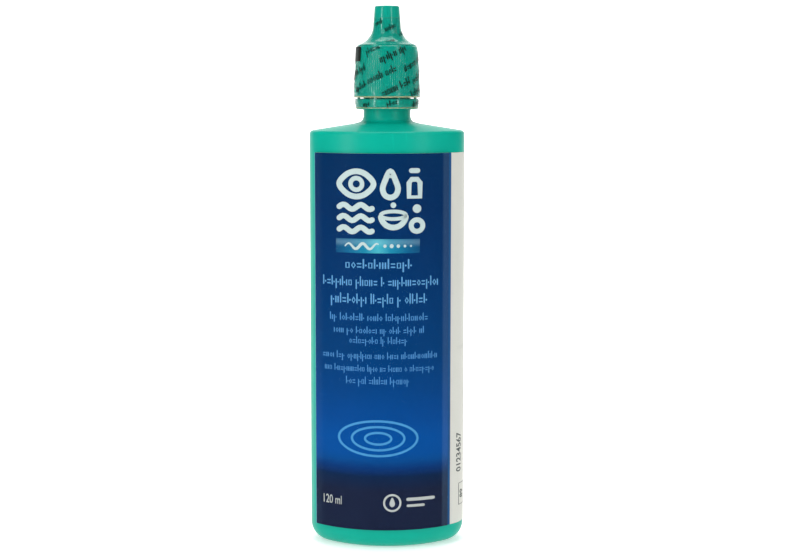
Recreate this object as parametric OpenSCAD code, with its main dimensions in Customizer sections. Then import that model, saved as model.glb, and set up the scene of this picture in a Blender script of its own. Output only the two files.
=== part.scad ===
// Squeeze bottle for contact lens solution: an oval hollow body with a round threaded neck,
// a pressed-in dropper nozzle, a tapered screw cap with its tamper band, a clear shrink
// sleeve in two lengths, and a wrap-round label that carries a small leaflet.
// +Z is up, -Y is the front, and the origin is the middle of the foot.

/* [Body] */
// Width of the oval body
body_w = 47.6; // [36:0.1:60]
// Depth of the oval body, front to back
body_d = 31; // [24:0.1:42]
// Height of the shoulder's outer edge above the foot
shoulder_z = 128.2; // [90:0.1:160]
// Thickness of the blown wall
wall = 0.8; // [0.6:0.05:1.2]
// Radius of the heel, between foot and side
heel_r = 5.5; // [3:0.1:8]
// Radius of the rounded shoulder edge
shoulder_r = 1.2; // [0.6:0.1:2.5]
// Height from the shoulder's edge to the root of the neck
shoulder_rise = 2.4; // [1.5:0.1:5]
// Radius of the oval's ends, as a share of half its depth
end_share = 0.68; // [0.5:0.01:0.85]
// Height of the hollow pushed up in the foot
push_up = 2.2; // [1:0.1:4]

/* [Neck] */
// Outer radius of the neck
neck_r = 7.2; // [6.6:0.05:8]
// Thickness of the neck's wall, round the bore that holds the nozzle plug
neck_wall = 1.8; // [1.4:0.05:2.4]
// Height of the neck's rim above the shoulder's top
neck_h = 19.6; // [18:0.1:24]
// Radius of the dropper nozzle near its end
nozzle_r = 2; // [1.6:0.05:2.4]
// Rise of the thread in one turn
pitch = 3.175; // [2.5:0.005:3.6]
// Number of turns of thread on the neck and in the cap
thread_turns = 1.5; // [1:0.25:1.75]
// Height of the thread's ridge above the neck's wall
thread_h = 1.05; // [0.8:0.05:1.2]

/* [Cap] */
// Thickness of the cap's wall at its open rim
cap_wall = 1.4; // [1.2:0.05:2]
// How much the barrel narrows from the rim to its upper edge
cap_taper = 0.8; // [0.2:0.05:0.8]
// Height of the barrel, from the rim to the upper edge
barrel_h = 14.9; // [14.5:0.1:16]
// Thickness of the wall round the slim tip
tip_wall = 0.95; // [0.8:0.05:1.4]
// Height of the whole cap
cap_h = 27.65; // [26:0.05:32]
// Number of fine grip ribs
ribs = 48; // [24:1:60]
// Height of the tamper band
band_h = 3.2; // [2.6:0.1:3.6]
// Number of breakable bridges between band and cap
bridges = 8; // [4:1:12]

/* [Sleeve] */
// Thickness of the clear shrink film
film_t = 0.08; // [0.05:0.01:0.15]
// Height of the sleeve's upper edge above the cap's rim
sleeve_h = 24; // [20:0.1:26]

/* [Label] */
// Bare height of body below the label
label_z = 6.4; // [5.5:0.1:12]
// Bare height of body between the label and the shoulder's edge
label_gap = 6.6; // [3:0.1:20]
// Distance of the label's free edges in from the body's left side
free_edge_in = 2.3; // [1.5:0.1:6]
// Distance of the leaflet's spine in from the body's right side
spine_in = 4.9; // [4:0.1:10]
// Thickness of the base ply
base_t = 0.12; // [0.08:0.01:0.2]
// Thickness of a leaflet page
page_t = 0.1; // [0.06:0.01:0.15]
// Thickness of the printed cover
cover_t = 0.14; // [0.1:0.01:0.2]
// Thickness of the clear laminate on the cover
laminate_t = 0.05; // [0.03:0.01:0.1]

/* [Contents] */
// Height of the air between the liquid and the shoulder's edge
headspace = 9.5; // [5:0.1:60]

/* [Hidden] */

$fn = 96;

// Gap that parts the label's plies from each other and from the body
ply_gap = 0.05;
// Gap round the neck for the threads and the band that turn on it
turn_gap = 0.35;

half_w = body_w / 2;
half_d = body_d / 2;
neck_z = shoulder_z + shoulder_rise;
rim_z = neck_z + neck_h;
cap_z = neck_z + 7.6;
bore_r = neck_r - neck_wall;

// The oval is four arcs that meet in tangents: two ends of radius end_r about [+-end_x, 0],
// and two long sides of radius side_r about [0, +-side_y], joined where the normal is at join_a
end_r = half_d * end_share;
end_x = half_w - end_r;
side_y = (end_x * end_x - pow(half_d - end_r, 2)) / (2 * (half_d - end_r));
side_r = half_d + side_y;
join_a = atan(side_y / end_x);
shoulder_slope = shoulder_rise / (half_w - neck_r - 1.2);
heel_steps = 5;
oval_steps = 72;
oval_step = 360 / oval_steps;
inner_steps = 48;

// The thread's ridge is a trapezium, thread_root high at the wall and thread_crest at its crest
thread_crest = 0.7;
thread_root = 1.5;
thread_z = cap_z + 3.8;
barrel_r = neck_r + thread_h + 0.5;

// The cap narrows to its tip along a hollow arc of radius flare_r about [flare_x, flare_z]
cap_rim_r = barrel_r + cap_wall;
cap_top_r = cap_rim_r - cap_taper;
tip_bore = nozzle_r + 0.9;
tip_r = tip_bore + tip_wall;
corner_r = 0.7;
flare_r = 6.15;
flare_end = 76;
flare_x = tip_r + 0.35 + flare_r;
flare_z = cap_z + barrel_h + flare_r + 0.85;
roof_z = rim_z + 1.5;
tip_roof_z = cap_z + cap_h - 1;
rib_r = 0.22;
rib_rise = 0.12;

nozzle_z = tip_roof_z - 1.6;
orifice_r = 0.5;
pin_r = 0.4;

film_gap = 0.17;
band_gap = 0.45;
band_r = cap_rim_r - 0.4;
band_z = cap_z - band_gap - band_h;
bead_z = band_z + 1.7;
bead_r = neck_r + 1.1;

// The plies lie on each other, so each starts where the one below ends
label_h = shoulder_z - label_gap - label_z;
free_edge = front_angle(free_edge_in - half_w);
spine_a = front_angle(half_w - spine_in);
base_in = 0.03;
rear_in = base_in + base_t + ply_gap;
front_in = rear_in + page_t + ply_gap;
cover_in = front_in + page_t + ply_gap;
laminate_in = cover_in + cover_t;
spine_w = 0.7;
spine_t = 0.15;
leaf_start = 0.5;

// Direction of the outward normal at a point x to the right of the middle, on the front half
function front_angle(x) =
    abs(x) < side_r * cos(join_a)
        ? -acos(x / side_r)
        : -acos((x - sign(x) * end_x) / end_r);

// The point of the oval whose outward normal points along angle t, moved out by d
function oval_point(t, d) =
    let (
        at_end = abs(cos(t)) > cos(join_a),
        middle = at_end ? [sign(cos(t)) * end_x, 0] : [0, -sign(sin(t)) * side_y],
        r = (at_end ? end_r : side_r) + d
    )
    middle + r * [cos(t), sin(t)];

// Points of an arc about [x, z] from angle a to angle b
function arc(x, z, r, a, b, steps = 8) =
    [for (i = [0:steps]) let (t = a + (b - a) * i / steps) [x + r * cos(t), z + r * sin(t)]];

// Cap's outer line from rim to tip, moved out by d
function cap_line(d) = concat(
    [[cap_rim_r - 0.3 + d, cap_z], [cap_rim_r + d, cap_z + 0.55]],
    arc(cap_top_r - corner_r, cap_z + barrel_h, corner_r + d, 3, 72, 6),
    [for (p = arc(flare_x, flare_z, flare_r - d, 270 - (90 - flare_end), 180, 10)) p],
    [[tip_r + d, cap_z + cap_h - 0.5]]
);

// Cuts a line of [r, z] points off at height z
function below(line, z) = [for (p = line) if (p[1] < z) p];

// Radius of the cap's barrel at height z
function barrel_at(z) = cap_rim_r + (cap_top_r - cap_rim_r) * (z - cap_z - 0.55) / (barrel_h - 0.55);

// One thread: a ridge that climbs round the axis, from radius base to radius crest
module thread(base, crest, z, turns, steps = 24) {
    count = round(turns * steps);
    ring = [
        for (i = [0:count])
            let (
                t = i * 360 / steps,
                h = z + pitch * i / steps,
                run = min(1, i / 3, (count - i) / 3),
                top = base + (crest - base) * max(run, 0.05)
            )
            for (p = [[base, -1, thread_root], [top, -1, thread_crest],
                      [top, 1, thread_crest], [base, 1, thread_root]])
                [p[0] * cos(t), p[0] * sin(t), h + p[1] * p[2] / 2]
    ];
    sides = [
        for (i = [0:count - 1], j = [0:3])
            let (a = i * 4 + j, b = i * 4 + (j + 1) % 4)
            for (f = [[a, b, b + 4], [a, b + 4, a + 4]]) f
    ];
    last = count * 4;
    ends = [[0, 3, 2], [0, 2, 1], [last, last + 1, last + 2], [last, last + 2, last + 3]];
    faces = concat(sides, ends);
    polyhedron(ring, crest < base ? [for (f = faces) [f[2], f[1], f[0]]] : faces);
}

// A ply of the label between two angles, from distance d to d + t off the body. Its facets
// break at the same angles as the body's, so that stacked plies lie on each other's faces
module ply(from, to, d, t) {
    inner = [for (i = [ceil(from / oval_step + 0.02):floor(to / oval_step - 0.02)]) i * oval_step];
    angles = concat([from], inner, [to]);
    last = len(angles) - 1;
    translate([0, 0, label_z])
        linear_extrude(label_h)
            polygon(concat(
                [for (a = angles) oval_point(a, d + t)],
                [for (i = [0:last]) oval_point(angles[last - i], d)]
            ));
}

// A ply over the leaflet's part of the front, from the free edge to the spine
module leaf(d, t) {
    ply(free_edge, front_angle(half_w - spine_in - leaf_start), d, t);
}

// A solid of the body's oval, skin in from the outer line: rings of points stacked from the
// foot to the shoulder, closed by a shallow cone at each end
module oval_solid(skin, heel, corner, low, high, steps) {
    profile = concat(
        [[heel + 2.5, 0.25], [heel + 1.5, 0]],
        [for (p = arc(heel, heel, heel, -90, -180, heel_steps)) p],
        [for (p = arc(corner, high - low - corner, corner, 180, 105, 3)) p]
    );
    rings = len(profile);
    points = concat(
        [for (p = profile, i = [0:steps - 1])
            let (q = oval_point(360 * i / steps, -skin - p[0])) [q[0], q[1], low + p[1]]],
        [[0, 0, low + push_up], [0, 0, high + (half_w - skin) * shoulder_slope]]
    );
    foot = rings * steps;
    last = foot - steps;
    polyhedron(points, concat(
        [for (i = [0:steps - 1]) [i, (i + 1) % steps, foot]],
        [for (r = [0:rings - 2], i = [0:steps - 1])
            let (a = r * steps + i, b = r * steps + (i + 1) % steps)
            for (f = [[b, a, a + steps], [b, a + steps, b + steps]]) f],
        [for (i = [0:steps - 1]) [last + (i + 1) % steps, last + i, foot + 1]]
    ));
}

module bottle_body() {
    color("#0CAA94") difference() {
        union() {
            oval_solid(0, heel_r, shoulder_r, 0, shoulder_z, oval_steps);
            rotate_extrude()
                polygon([
                    [0, shoulder_z - 2], [neck_r + 5.8, shoulder_z + 0.5], [neck_r + 3.3, neck_z - 0.7],
                    [neck_r + 1.2, neck_z], [neck_r + 0.8, neck_z + 0.3], [neck_r + 0.3, neck_z + 0.9],
                    [neck_r, neck_z + 1.55], [neck_r, bead_z - 0.1], [bead_r, bead_z + 0.2],
                    [bead_r, bead_z + 0.5], [neck_r, bead_z + 1.2], [neck_r, rim_z], [0, rim_z]
                ]);
            thread(neck_r - 0.1, neck_r + thread_h, thread_z, thread_turns);
        }
        oval_solid(wall, heel_r - wall, 0.4, wall, shoulder_z - wall, inner_steps);
        translate([0, 0, shoulder_z - 2])
            cylinder(r = bore_r, h = rim_z);
    }
}

module saline_fill() {
    skin = wall + 0.1;
    color([0.85, 0.95, 1, 0.4]) intersection() {
        oval_solid(skin, heel_r - skin, 0.4, skin, shoulder_z - skin, inner_steps);
        translate([-half_w, -half_w, 0])
            cube([body_w, body_w, shoulder_z - headspace]);
    }
}

module nozzle_plug() {
    color("#E8EEF0") difference() {
        rotate_extrude()
            polygon([
                [0, rim_z - 7], [bore_r - 0.3, rim_z - 7], [bore_r, rim_z - 6], [bore_r, rim_z],
                [neck_r - 0.4, rim_z], [neck_r - 0.4, rim_z + 0.9], [tip_bore + 1, rim_z + 0.9],
                [nozzle_r + 0.3, rim_z + 3], [nozzle_r, nozzle_z - 0.4],
                [nozzle_r - 0.4, nozzle_z], [0, nozzle_z]
            ]);
        rotate_extrude()
            polygon([
                [0, rim_z - 8], [bore_r - 1, rim_z - 8], [bore_r - 1, rim_z - 2],
                [1.2, rim_z + 1], [1, nozzle_z - 3], [orifice_r, nozzle_z - 2.4], [0, nozzle_z - 2.4]
            ]);
        translate([0, 0, nozzle_z - 4])
            cylinder(r = orifice_r, h = 5, $fn = 32);
    }
}

module screw_cap() {
    lean = atan((cap_rim_r - cap_top_r) / (barrel_h - 0.55));
    color("#109B85") difference() {
        union() {
            rotate_extrude()
                polygon(concat(
                    [[0, cap_z]], cap_line(0),
                    [[tip_r - 0.4, cap_z + cap_h], [0, cap_z + cap_h]]
                ));
            for (i = [0:ribs - 1])
                rotate([0, 0, 360 * i / ribs])
                    translate([barrel_at(cap_z + 1) - rib_r + rib_rise, 0, cap_z + 1])
                        rotate([0, -lean, 0])
                            cylinder(r = rib_r, h = barrel_h - 2, $fn = 8);
        }
        difference() {
            rotate_extrude()
                polygon([
                    [0, cap_z - 1], [barrel_r + 0.1, cap_z - 1], [barrel_r + 0.1, cap_z + 1],
                    [barrel_r, cap_z + 1.5], [barrel_r - 0.2, roof_z], [tip_bore + 1.9, roof_z],
                    [tip_bore + 0.2, roof_z + 3], [tip_bore, tip_roof_z], [0, tip_roof_z]
                ]);
            thread(barrel_r + 0.3, neck_r + turn_gap, thread_z - pitch / 2, thread_turns);
            translate([0, 0, nozzle_z - 1.5])
                cylinder(r = pin_r, h = 5, $fn = 32);
        }
    }
}

module cap_sleeve() {
    top = cap_z + sleeve_h;
    inside = below(cap_line(film_gap), top);
    outside = below(cap_line(film_gap + film_t), top);
    edge = tip_r + 0.12 + film_gap;
    color([0.8, 0.95, 0.9, 0.35])
        rotate_extrude()
            polygon(concat(
                outside, [[edge + film_t, top], [edge, top]],
                [for (i = [len(inside) - 1:-1:0]) inside[i]]
            ));
}

module tamper_band() {
    color("#0D9180") rotate_extrude()
        polygon([
            [barrel_r + 0.1, cap_z - band_gap], [bead_r + 0.3, bead_z + 0.9], [bead_r + 0.3, bead_z - 0.5],
            [neck_r + turn_gap - 0.05, bead_z - 0.6], [neck_r + turn_gap + 0.15, band_z],
            [band_r - 0.5, band_z], [band_r - 0.15, band_z + 0.35], [band_r, cap_z - band_gap]
        ]);
}

module band_bridges() {
    color("#0D9180") for (i = [0:bridges - 1])
        rotate([0, 0, 360 * (i + 0.5) / bridges])
            translate([(barrel_r + band_r) / 2 - 0.15, -0.35, cap_z - band_gap])
                cube([0.5, 0.7, band_gap - 0.05]);
}

module band_sleeve() {
    inside = band_r + film_gap;
    color([0.8, 0.95, 0.9, 0.35]) rotate_extrude()
        polygon([
            [inside - 0.3, band_z + 0.3], [inside, band_z + 0.75], [inside, cap_z - 0.25],
            [inside + film_t, cap_z - 0.25], [inside + film_t, band_z + 0.75],
            [inside + film_t - 0.3, band_z + 0.3]
        ]);
}

module base_label() {
    color("#D2D4CC") ply(free_edge, -free_edge, base_in, base_t);
}

module leaflet_spine() {
    color("#0456AC")
        ply(spine_a, front_angle(half_w - spine_in + spine_w), base_in + base_t, spine_t);
}

module leaflet_page_rear() {
    color("#E4E6E0") leaf(rear_in, page_t);
}

module leaflet_page_front() {
    color("#E4E6E0") leaf(front_in, page_t);
}

module front_cover() {
    color("#01386C") leaf(cover_in, cover_t);
}

module cover_laminate() {
    color([0.7, 0.85, 1, 0.3]) leaf(laminate_in, laminate_t);
}

bottle_body();
saline_fill();
nozzle_plug();
screw_cap();
cap_sleeve();
tamper_band();
band_bridges();
band_sleeve();
base_label();
leaflet_spine();
leaflet_page_rear();
leaflet_page_front();
front_cover();
cover_laminate();
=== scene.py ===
import math

import bpy
from bpy.props import FloatProperty, FloatVectorProperty, IntProperty, PointerProperty
from mathutils import Matrix, Vector


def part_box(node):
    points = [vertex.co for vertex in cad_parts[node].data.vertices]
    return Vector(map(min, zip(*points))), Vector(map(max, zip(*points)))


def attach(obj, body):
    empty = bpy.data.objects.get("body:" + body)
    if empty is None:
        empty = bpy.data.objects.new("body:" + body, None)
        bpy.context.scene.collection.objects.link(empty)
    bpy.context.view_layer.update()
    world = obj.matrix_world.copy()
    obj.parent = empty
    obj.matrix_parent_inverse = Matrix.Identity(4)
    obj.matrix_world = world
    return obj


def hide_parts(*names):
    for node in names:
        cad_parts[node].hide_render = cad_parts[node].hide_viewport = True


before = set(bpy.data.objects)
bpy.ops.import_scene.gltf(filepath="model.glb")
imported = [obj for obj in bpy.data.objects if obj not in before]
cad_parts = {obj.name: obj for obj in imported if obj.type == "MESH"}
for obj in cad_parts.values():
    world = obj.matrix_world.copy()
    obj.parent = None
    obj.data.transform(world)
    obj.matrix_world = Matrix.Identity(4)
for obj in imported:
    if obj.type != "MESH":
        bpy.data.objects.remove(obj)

bl_info = {
    "name": "Contact Lens Solution Bottle",
    "version": (1, 0, 0),
    "blender": (4, 5, 0),
    "location": "View3D > Sidebar > Bottle",
    "description": "Models a squeeze bottle of contact lens solution piece by piece",
    "category": "Object",
}

MM = 0.001
BODY_LOW, BODY_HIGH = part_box("bottle_body")
CAP_LOW, CAP_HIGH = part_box("screw_cap")
BAND_LOW, BAND_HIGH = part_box("tamper_band")
BASE_LOW, BASE_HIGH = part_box("base_label")
FILM_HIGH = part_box("cap_sleeve")[1]
BAND_FILM_LOW, BAND_FILM_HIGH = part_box("band_sleeve")


# Sizes and colours

def linear(code):
    """Linear colour of a six-figure screen colour code."""
    parts = [int(code[i:i + 2], 16) / 255 for i in (1, 3, 5)]
    return tuple(p / 12.92 if p < 0.04045 else ((p + 0.055) / 1.055) ** 2.4 for p in parts)


def length(name, description, default):
    """A length property in metres."""
    return FloatProperty(name=name, description=description, default=default, min=0.0,
                         unit="LENGTH", subtype="DISTANCE", precision=5)


def colour(name, description, code):
    """A colour property from a screen colour code."""
    return FloatVectorProperty(name=name, description=description, default=linear(code),
                               size=3, min=0.0, max=1.0, subtype="COLOR")


class BottleSizes(bpy.types.PropertyGroup):
    """Sizes of the oval bottle and its neck"""
    width: length("Width", "Width of the oval body", BODY_HIGH.x - BODY_LOW.x)
    depth: length("Depth", "Depth of the oval body", BODY_HIGH.y - BODY_LOW.y)
    end_share: FloatProperty(name="End roundness",
        description="Radius of the oval's ends as a share of half the depth",
                             default=0.68, min=0.5, max=0.85, subtype="FACTOR")
    heel: length("Heel radius", "Radius between the foot and the side", 0.0055)
    shoulder: length("Shoulder height", "Height of the shoulder's outer edge", 0.1282)
    rise: length("Shoulder rise", "Height from the shoulder's edge to the root of the neck", 0.0024)
    wall: length("Wall", "Thickness of the blown wall", 0.0008)
    push_up: length("Push-up", "Height of the hollow in the foot", 0.0022)
    neck: length("Neck radius", "Outer radius of the neck", 0.0072)
    bore: length("Bore radius", "Radius of the neck's bore", 0.0054)
    rim: length("Rim height", "Height of the neck's rim", BODY_HIGH.z)
    bead: length("Bead height", "Height of the bead that holds the tamper band", 0.13625)
    thread: length("Thread height", "Height of the start of the thread", 0.142)
    pitch: length("Thread pitch", "Rise of the thread in one turn", 0.003175)
    turns: FloatProperty(name="Thread turns", description="Number of turns of the thread", default=1.5,
                         min=1.0, max=2.0)


class CapSizes(bpy.types.PropertyGroup):
    """Sizes of the screw cap and the film on it"""
    low: length("Rim height", "Height of the cap's open rim", CAP_LOW.z)
    high: length("Top height", "Height of the cap's top", CAP_HIGH.z)
    rim: length("Rim radius", "Radius at the open rim", 0.01015)
    top: length("Barrel top radius", "Radius at the barrel's upper edge", 0.00935)
    barrel: length("Barrel height", "Height of the barrel", 0.0149)
    tip: length("Tip radius", "Radius of the slim tip", 0.00385)
    flare: length("Flare radius", "Radius of the hollow curve below the tip", 0.00615)
    ribs: IntProperty(name="Ribs", description="Number of fine grip ribs", default=96, min=24, max=120)
    film_high: length("Film top", "Height of the film's upper edge", FILM_HIGH.z)
    film_gap: length("Film gap", "Gap between the cap and its film", 0.00017)
    film: length("Film thickness", "Thickness of the clear film", 0.00008)


class LabelSizes(bpy.types.PropertyGroup):
    """Sizes of the label and its folded leaflet"""
    low: length("Lower edge", "Height of the label's lower edge", BASE_LOW.z)
    high: length("Upper edge", "Height of the label's upper edge", BASE_HIGH.z)
    free_edge: length("Free edge inset", "Distance of the free edges in from the left side", 0.0023)
    spine: length("Spine inset", "Distance of the leaflet's spine in from the right side", 0.0049)


class Finishes(bpy.types.PropertyGroup):
    """Colours of the plastics, the films and the print"""
    bottle: colour("Bottle plastic", "Colour of the blown bottle", "#00A892")
    cap: colour("Cap plastic", "Colour of the cap and the band", "#009A86")
    film: colour("Film", "Tint of the clear shrink film", "#F2F4DC")
    cover_top: colour("Cover, top", "Blue at the top of the cover", "#012E5B")
    cover_middle: colour("Cover, middle", "Blue at the middle of the cover", "#013870")
    cover_bright: colour("Cover, bright", "Brightest blue, above the horizon", "#0352A4")
    cover_dark: colour("Cover, dark", "Navy below the horizon", "#1D2239")
    panel: colour("White panel", "Printed white of the side and back", "#D3D4CC")
    print_white: colour("White print", "Colour of the large print", "#CFE3E1")
    print_blue: colour("Blue print", "Colour of the upper lines of print", "#66AADF")
    print_deep: colour("Deep blue print", "Colour of the lower lines of print", "#4F93D2")
    print_grey: colour("Grey print", "Colour of the print on the white panel", "#595F5E")
    print_black: colour("Black print", "Colour of the marks on the film", "#12201C")


# Shaping with the tools of edit mode

def start_fresh():
    """Leaves edit mode and deselects everything."""
    if bpy.context.object and bpy.context.object.mode != "OBJECT":
        bpy.ops.object.mode_set(mode="OBJECT")
    bpy.ops.object.select_all(action="DESELECT")


def make_active(piece):
    """Selects one piece alone and makes it the active one."""
    start_fresh()
    piece.select_set(True)
    bpy.context.view_layer.objects.active = piece


def settle(piece):
    """Applies the piece's place, turn and size to its mesh."""
    make_active(piece)
    bpy.ops.object.transform_apply(location=True, rotation=True, scale=True)
    return piece


def drawn_line(name, points):
    """A line of edges, drawn by extruding one vertex from point to point."""
    start_fresh()
    bpy.ops.mesh.primitive_plane_add(size=MM, location=points[0])
    line = bpy.context.object
    line.name = name
    bpy.ops.object.mode_set(mode="EDIT")
    bpy.ops.mesh.select_mode(type="VERT")
    bpy.ops.mesh.select_all(action="SELECT")
    bpy.ops.mesh.merge(type="CENTER")
    for before, after in zip(points, points[1:]):
        step = Vector(after) - Vector(before)
        bpy.ops.mesh.extrude_vertices_move(TRANSFORM_OT_translate={"value": step})
    bpy.ops.mesh.select_all(action="SELECT")
    bpy.ops.object.mode_set(mode="OBJECT")
    return settle(line)


def close_up(piece, inside=False):
    """Merges doubled vertices and turns the faces outwards."""
    make_active(piece)
    bpy.ops.object.mode_set(mode="EDIT")
    bpy.ops.mesh.select_all(action="SELECT")
    bpy.ops.mesh.remove_doubles(threshold=2e-6)
    bpy.ops.mesh.normals_make_consistent(inside=inside)
    bpy.ops.object.mode_set(mode="OBJECT")


def turned(name, line, steps):
    """A round solid, turned about the upright axis from a line of (radius, height) points."""
    piece = drawn_line(name, [(r, 0, z) for r, z in line])
    bpy.ops.object.mode_set(mode="EDIT")
    bpy.ops.mesh.select_all(action="SELECT")
    bpy.ops.mesh.spin(steps=steps, angle=2 * math.pi, center=(0, 0, 0), axis=(0, 0, 1))
    bpy.ops.object.mode_set(mode="OBJECT")
    close_up(piece)
    return piece


def soften(piece, angle=38):
    """Smooth shading that keeps edges sharper than the angle."""
    make_active(piece)
    bpy.ops.object.shade_smooth_by_angle(angle=math.radians(angle))


def apply_modifier(piece, kind, **settings):
    """Adds a modifier with these settings and applies it."""
    make_active(piece)
    bpy.ops.object.modifier_add(type=kind)
    added = piece.modifiers[-1]
    for name, value in settings.items():
        setattr(added, name, value)
    bpy.ops.object.modifier_apply(modifier=added.name)


def joined(name, pieces):
    """Several pieces joined into one."""
    start_fresh()
    for piece in pieces:
        piece.select_set(True)
    bpy.context.view_layer.objects.active = pieces[0]
    if len(pieces) > 1:
        bpy.ops.object.join()
    whole = bpy.context.object
    whole.name = name
    return settle(whole)


def select_where(piece, kind, test):
    """Selects in edit mode the vertices, edges or faces whose middle passes the test."""
    make_active(piece)
    bpy.ops.object.mode_set(mode="EDIT")
    bpy.ops.mesh.select_mode(type=kind)
    bpy.ops.mesh.select_all(action="DESELECT")
    bpy.ops.object.mode_set(mode="OBJECT")
    mesh = piece.data
    if kind == "FACE":
        for face in mesh.polygons:
            face.select = test(face.center)
    elif kind == "EDGE":
        for edge in mesh.edges:
            a, b = (mesh.vertices[i].co for i in edge.vertices)
            edge.select = test(a) and test(b)
    else:
        for vertex in mesh.vertices:
            vertex.select = test(vertex.co)
    bpy.ops.object.mode_set(mode="EDIT")


def arc_points(x, z, radius, start, stop, steps):
    """Points of an arc about (x, z) between two angles in degrees."""
    turns = [math.radians(start + (stop - start) * i / steps) for i in range(steps + 1)]
    return [(x + radius * math.cos(t), z + radius * math.sin(t)) for t in turns]


def finish_piece(piece, body, slot, material, *nodes):
    """Gives a piece its finish and its body, and hides the CAD nodes it stands for."""
    piece.data.materials.clear()
    piece.data.materials.append(material)
    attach(piece, body)
    if nodes:
        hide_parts(*nodes)
    return piece


# The oval

class Oval:
    """The body's outline: four arcs that meet in tangents, a pair of ends and a pair of sides."""

    def __init__(self, sizes):
        self.half_width = sizes.width / 2
        self.half_depth = sizes.depth / 2
        self.end_radius = self.half_depth * sizes.end_share
        self.end_x = self.half_width - self.end_radius
        spare = self.half_depth - self.end_radius
        self.side_y = (self.end_x ** 2 - spare ** 2) / (2 * spare)
        self.side_radius = self.half_depth + self.side_y
        self.join = math.degrees(math.atan2(self.side_y, self.end_x))

    def arcs(self):
        """Each arc's first and last normal, its centre, and the number of steps round it."""
        j = self.join
        return [
            (-180, j - 180, (-self.end_x, 0, 0), 14),
            (j - 180, -j, (0, self.side_y, 0), 36),
            (-j, j, (self.end_x, 0, 0), 28),
            (j, 180 - j, (0, -self.side_y, 0), 36),
            (180 - j, 180, (-self.end_x, 0, 0), 14),
        ]

    def point(self, normal, distance, height):
        """The point whose outward normal has that angle, moved out by distance."""
        t = math.radians(normal)
        if abs(math.cos(t)) > math.cos(math.radians(self.join)):
            x, y, radius = math.copysign(self.end_x, math.cos(t)), 0, self.end_radius
        else:
            x, y, radius = 0, -math.copysign(self.side_y, math.sin(t)), self.side_radius
        return (x + (radius + distance) * math.cos(t), y + (radius + distance) * math.sin(t), height)

    def normal_at(self, x):
        """The normal's angle on the front at a distance x to the right of the middle."""
        if abs(x) < self.side_radius * math.cos(math.radians(self.join)):
            return -math.degrees(math.acos(x / self.side_radius))
        return -math.degrees(math.acos((x - math.copysign(self.end_x, x)) / self.end_radius))

    def sweep(self, name, line, start, stop, about_axis=False):
        """A line of (distance, height) points swept round the oval between two normals.
        About the axis, the distances are radii and the shape is round."""
        if about_axis:
            t = math.radians(start)
            points = [(d * math.cos(t), d * math.sin(t), z) for d, z in line]
        else:
            points = [self.point(start, d, z) for d, z in line]
        piece = drawn_line(name, points)
        bpy.ops.object.mode_set(mode="EDIT")
        bpy.ops.mesh.select_all(action="SELECT")
        for first, last, centre, steps in self.arcs():
            low, high = max(first, start), min(last, stop)
            if high - low < 0.01:
                continue
            count = max(1, math.ceil(steps * (high - low) / (last - first) - 0.01))
            bpy.ops.mesh.spin(steps=count, angle=-math.radians(high - low),
                              center=(0, 0, 0) if about_axis else centre, axis=(0, 0, 1))
        bpy.ops.object.mode_set(mode="OBJECT")
        close_up(piece)
        return piece


def bridge_rings(piece, low, high, least=0.0):
    """Bridges the two open rings that lie between two heights and outside a radius."""
    open_edges = open_edge_set(piece)
    make_active(piece)
    bpy.ops.object.mode_set(mode="EDIT")
    bpy.ops.mesh.select_mode(type="EDGE")
    bpy.ops.mesh.select_all(action="DESELECT")
    bpy.ops.object.mode_set(mode="OBJECT")
    for edge in piece.data.edges:
        a, b = (piece.data.vertices[i].co for i in edge.vertices)
        wide = min(math.hypot(a.x, a.y), math.hypot(b.x, b.y)) > least
        edge.select = edge.key in open_edges and wide and low < min(a.z, b.z) and max(a.z, b.z) < high
    bpy.ops.object.mode_set(mode="EDIT")
    bpy.ops.mesh.bridge_edge_loops()
    bpy.ops.object.mode_set(mode="OBJECT")


def open_edge_set(piece):
    """Keys of the edges that have one face only."""
    seen = {}
    for face in piece.data.polygons:
        for key in face.edge_keys:
            seen[key] = seen.get(key, 0) + 1
    return {key for key, count in seen.items() if count == 1}


def close_foot(piece, height, rings, rise):
    """Closes an open ring at the foot with a low dome, drawn in by extruding and shrinking."""
    open_edges = open_edge_set(piece)
    make_active(piece)
    bpy.ops.object.mode_set(mode="EDIT")
    bpy.ops.mesh.select_mode(type="EDGE")
    bpy.ops.mesh.select_all(action="DESELECT")
    bpy.ops.object.mode_set(mode="OBJECT")
    for edge in piece.data.edges:
        a, b = (piece.data.vertices[i].co for i in edge.vertices)
        edge.select = edge.key in open_edges and a.z < height and b.z < height
    bpy.ops.object.mode_set(mode="EDIT")
    size, up = 1.0, 0.0
    for i in range(1, rings):
        share = 1 - i / rings
        lift = rise * math.sin(math.pi / 2 * i / rings)
        bpy.ops.mesh.extrude_edges_move(TRANSFORM_OT_translate={"value": (0, 0, lift - up)})
        bpy.ops.transform.resize(value=(share / size, share / size, 1), center_override=(0, 0, 0))
        size, up = share, lift
    bpy.ops.mesh.extrude_edges_move(TRANSFORM_OT_translate={"value": (0, 0, rise - up)})
    bpy.ops.mesh.merge(type="CENTER")
    bpy.ops.object.mode_set(mode="OBJECT")


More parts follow.
